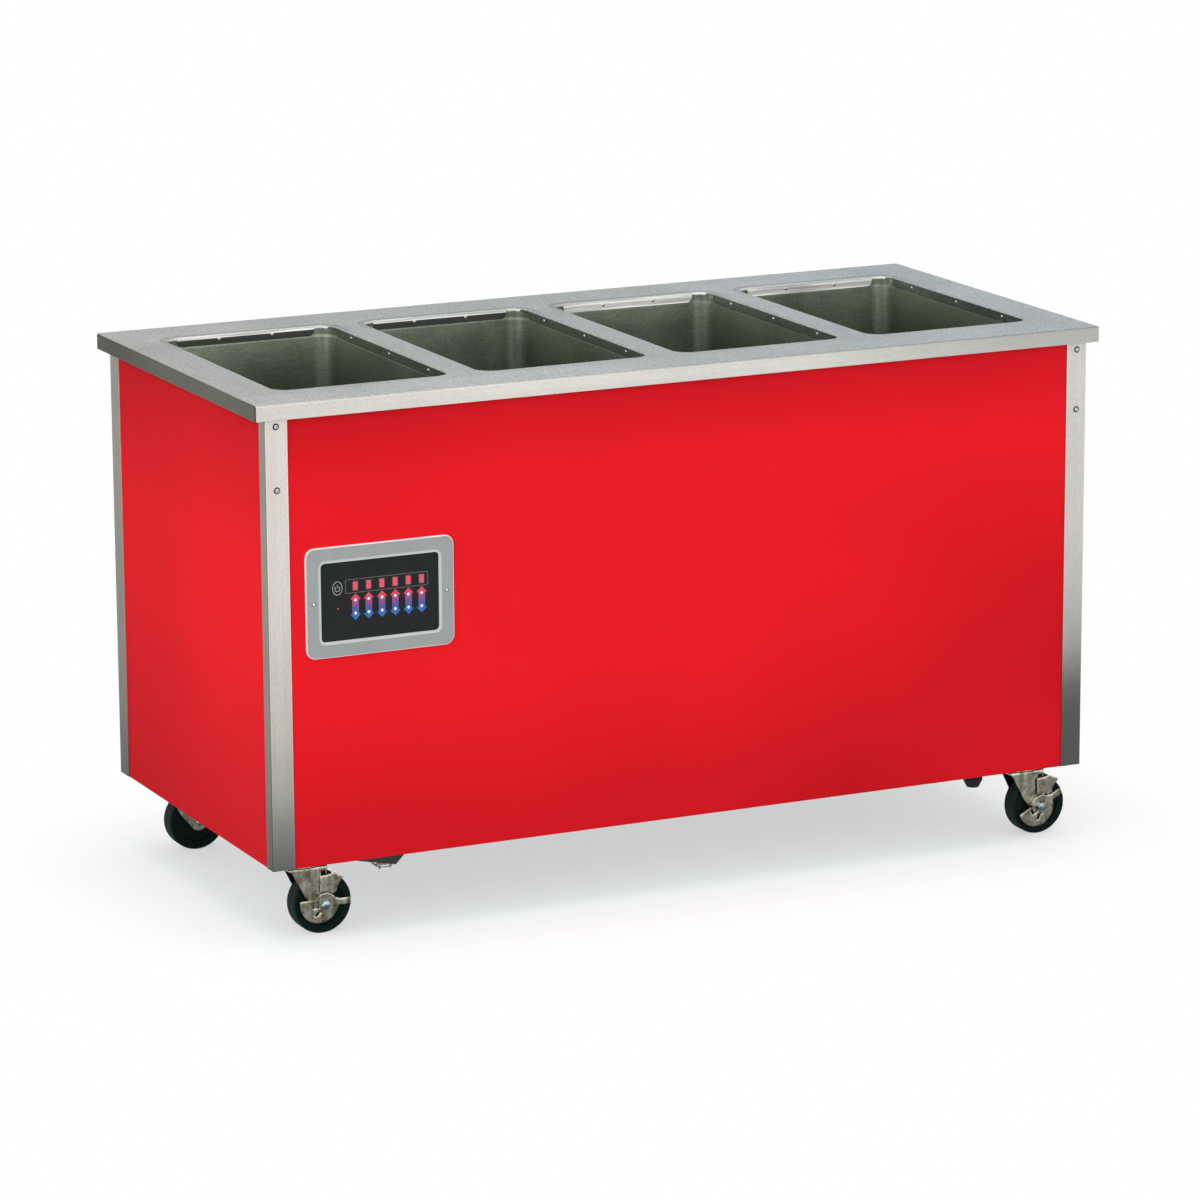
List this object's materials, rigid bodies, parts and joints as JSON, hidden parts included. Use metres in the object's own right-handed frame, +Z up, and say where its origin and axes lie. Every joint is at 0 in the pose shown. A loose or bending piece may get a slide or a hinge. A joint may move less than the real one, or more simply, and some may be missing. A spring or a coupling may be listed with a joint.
{
  "type": "hot food serving counter",
  "caption": "Mobile hot food serving counter: stainless top with heated drop-in wells, red enclosed body, touch control panel, drain valve and swivel casters with brakes.",
  "frame": {"origin": "on the floor under the middle of the countertop", "axes": "+X along the length, away from the control panel's end; -Y is the side with the control panel; +Z up"},
  "size_m": [1.524, 0.711, 0.889],
  "materials": {
    "bezel": "satin grey",
    "black_plastic": "matt black",
    "black_sheet": "matt dark grey coating",
    "board": "green circuit board",
    "brass": "satin",
    "copper": "dull copper",
    "galvanised": "galvanised, matt",
    "grey_plastic": "matt light grey",
    "heater": "dark oxidised sheath",
    "overlay": "black membrane, satin",
    "red_panel": "smooth red laminate, satin",
    "stainless": "brushed along the length",
    "stainless_dull": "mill finish",
    "wheel_rubber": "matt black with a grey worn tread",
    "wool": "matt mineral wool",
    "zinc": "zinc plated pressing"
  },
  "bodies": {
    "counter": {"countertop": "stainless", "top_stiffeners": "galvanised", "well_1": "stainless_dull", "well_2": "stainless_dull", "well_3": "stainless_dull", "well_4": "stainless_dull", "well_jacket_1": "galvanised", "well_jacket_2": "galvanised", "well_jacket_3": "galvanised", "well_jacket_4": "galvanised", "well_insulation": "wool", "heating_elements": "heater", "well_drains": "brass", "well_strainers": "stainless", "well_rivets": "stainless", "drain_manifold": "copper", "valve_body": "brass", "valve_guard": "black_sheet", "front_panel": "red_panel", "back_panel": "red_panel", "left_end_panel": "red_panel", "right_end_panel": "red_panel", "post_front_left": "stainless", "post_front_right": "stainless", "post_back_left": "stainless", "post_back_right": "stainless", "upper_rails": "galvanised", "base_rails": "galvanised", "base_deck": "galvanised", "panel_screws": "stainless", "control_bezel": "bezel", "control_overlay": "overlay", "control_housing": "galvanised", "control_board": "board", "cord_gland": "black_plastic", "power_block": "grey_plastic", "caster_bolts": "zinc", "swivel_balls": "stainless", "caster_plate_fl": "zinc", "caster_plate_fr": "zinc", "caster_plate_bl": "zinc", "caster_plate_br": "zinc"},
    "swivel_fl": {"fork_fl": "zinc", "axle_fl": "zinc"},
    "wheel_fl": {"wheel_fl": "wheel_rubber"},
    "swivel_fr": {"fork_fr": "zinc", "axle_fr": "zinc"},
    "wheel_fr": {"wheel_fr": "wheel_rubber"},
    "swivel_bl": {"fork_bl": "zinc", "axle_bl": "zinc"},
    "wheel_bl": {"wheel_bl": "wheel_rubber"},
    "swivel_br": {"fork_br": "zinc", "axle_br": "zinc"},
    "wheel_br": {"wheel_br": "wheel_rubber"},
    "brake_lever_fl": {"brake_lever_fl": "zinc"},
    "brake_shoe_fl": {"brake_shoe_fl": "zinc"},
    "brake_lever_fr": {"brake_lever_fr": "zinc"},
    "brake_shoe_fr": {"brake_shoe_fr": "zinc"},
    "valve_handle": {"valve_handle": "stainless", "valve_ball": "stainless"}
  },
  "joints": [
    {"name": "swivel_fl", "type": "hinge", "parent": "counter", "child": "swivel_fl", "pos_m": [-0.665, -0.276, 0.12], "axis": [0, 0, 1], "continuous": true},
    {"name": "roll_fl", "type": "hinge", "parent": "swivel_fl", "child": "wheel_fl", "pos_m": [-0.637, -0.276, 0.0508], "axis": [0, 1, 0], "continuous": true},
    {"name": "swivel_fr", "type": "hinge", "parent": "counter", "child": "swivel_fr", "pos_m": [0.665, -0.276, 0.12], "axis": [0, 0, 1], "continuous": true},
    {"name": "roll_fr", "type": "hinge", "parent": "swivel_fr", "child": "wheel_fr", "pos_m": [0.693, -0.276, 0.0508], "axis": [0, 1, 0], "continuous": true},
    {"name": "swivel_bl", "type": "hinge", "parent": "counter", "child": "swivel_bl", "pos_m": [-0.665, 0.276, 0.12], "axis": [0, 0, 1], "continuous": true},
    {"name": "roll_bl", "type": "hinge", "parent": "swivel_bl", "child": "wheel_bl", "pos_m": [-0.637, 0.276, 0.0508], "axis": [0, 1, 0], "continuous": true},
    {"name": "swivel_br", "type": "hinge", "parent": "counter", "child": "swivel_br", "pos_m": [0.665, 0.276, 0.12], "axis": [0, 0, 1], "continuous": true},
    {"name": "roll_br", "type": "hinge", "parent": "swivel_br", "child": "wheel_br", "pos_m": [0.693, 0.276, 0.0508], "axis": [0, 1, 0], "continuous": true},
    {"name": "brake_lever_fl", "type": "hinge", "parent": "swivel_fl", "child": "brake_lever_fl", "pos_m": [-0.637, -0.276, 0.0508], "axis": [0, -1, 0], "range_deg": [0, 28]},
    {"name": "brake_shoe_fl", "type": "slide", "parent": "swivel_fl", "child": "brake_shoe_fl", "axis": [0, 0, 1], "range_m": [0, 0.0015]},
    {"name": "brake_lever_fr", "type": "hinge", "parent": "swivel_fr", "child": "brake_lever_fr", "pos_m": [0.693, -0.276, 0.0508], "axis": [0, -1, 0], "range_deg": [-28, 0]},
    {"name": "brake_shoe_fr", "type": "slide", "parent": "swivel_fr", "child": "brake_shoe_fr", "axis": [0, 0, 1], "range_m": [-0.0015, 0]},
    {"name": "drain_valve", "type": "hinge", "parent": "counter", "child": "valve_handle", "pos_m": [-0.515, -0.25, 0.142], "axis": [0, 0, 1], "range_deg": [0, 90]}
  ],
  "couplings": [
    {"joint": "brake_shoe_fl", "follows": "brake_lever_fl", "m_per_rad": 0.003069},
    {"joint": "brake_shoe_fr", "follows": "brake_lever_fr", "m_per_rad": 0.003069}
  ]
}
